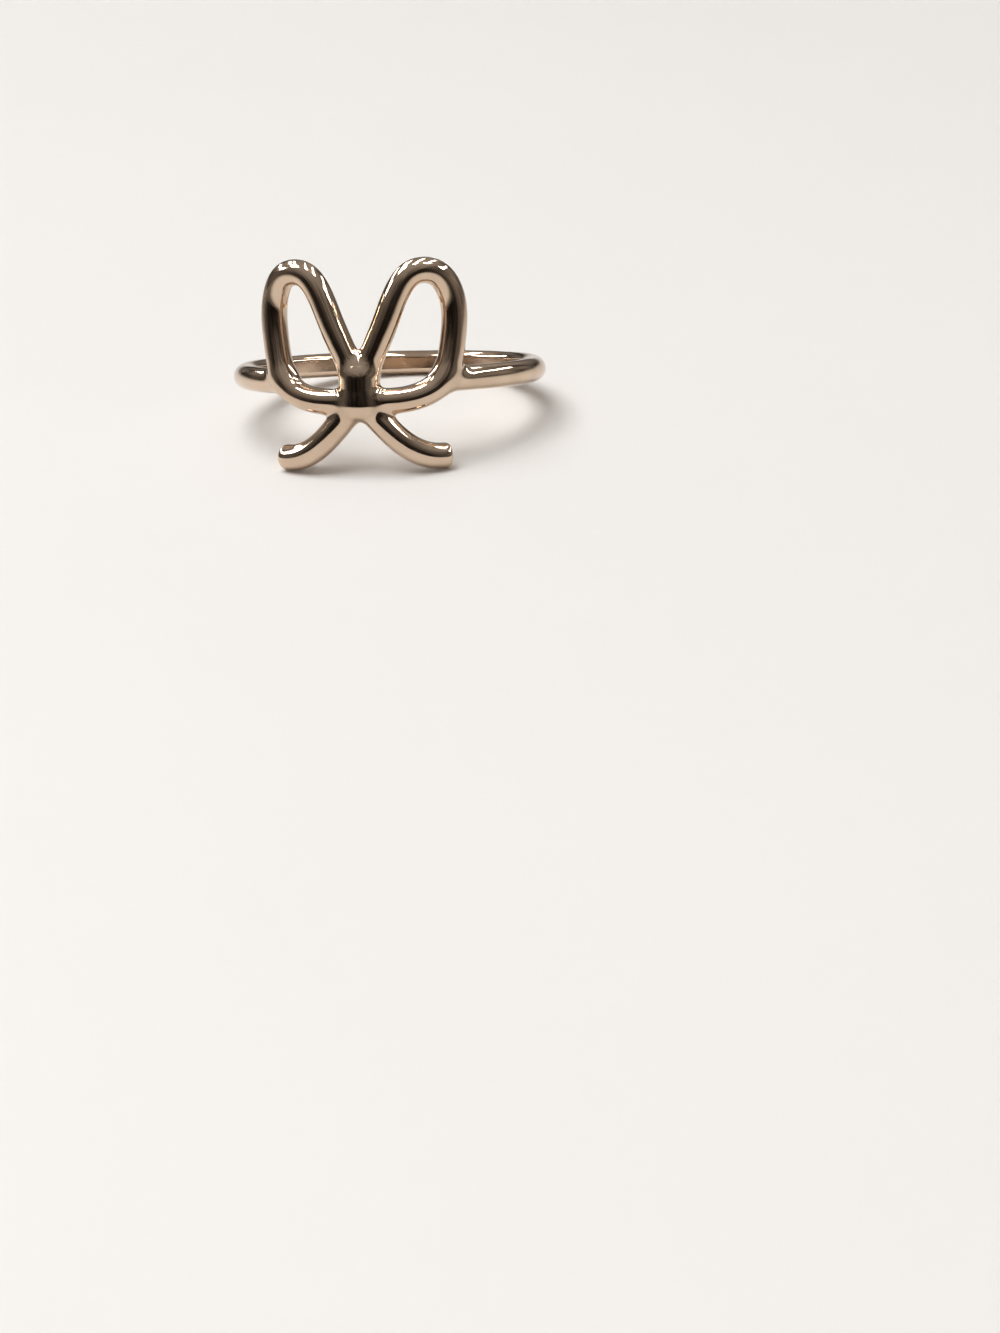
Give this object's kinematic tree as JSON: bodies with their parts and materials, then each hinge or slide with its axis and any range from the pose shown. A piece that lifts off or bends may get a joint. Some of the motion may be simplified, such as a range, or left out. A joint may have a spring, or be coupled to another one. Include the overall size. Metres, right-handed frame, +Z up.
{
  "type": "finger ring",
  "caption": "Slim finger ring of round wire with an upright openwork bow at the front, whose loops and tails are bent to the curve of the finger.",
  "frame": {"origin": "middle of the box's base, on the surface that the ring rests on", "axes": "+Z up from that surface, -Y from the finger hole towards the bow, +X to the right as seen from in front of the bow"},
  "size_m": [0.0202, 0.0204, 0.013],
  "materials": {
    "ring_metal": "polished champagne-gold plating"
  },
  "bodies": {
    "root": {"ring": "ring_metal"}
  },
  "joints": []
}
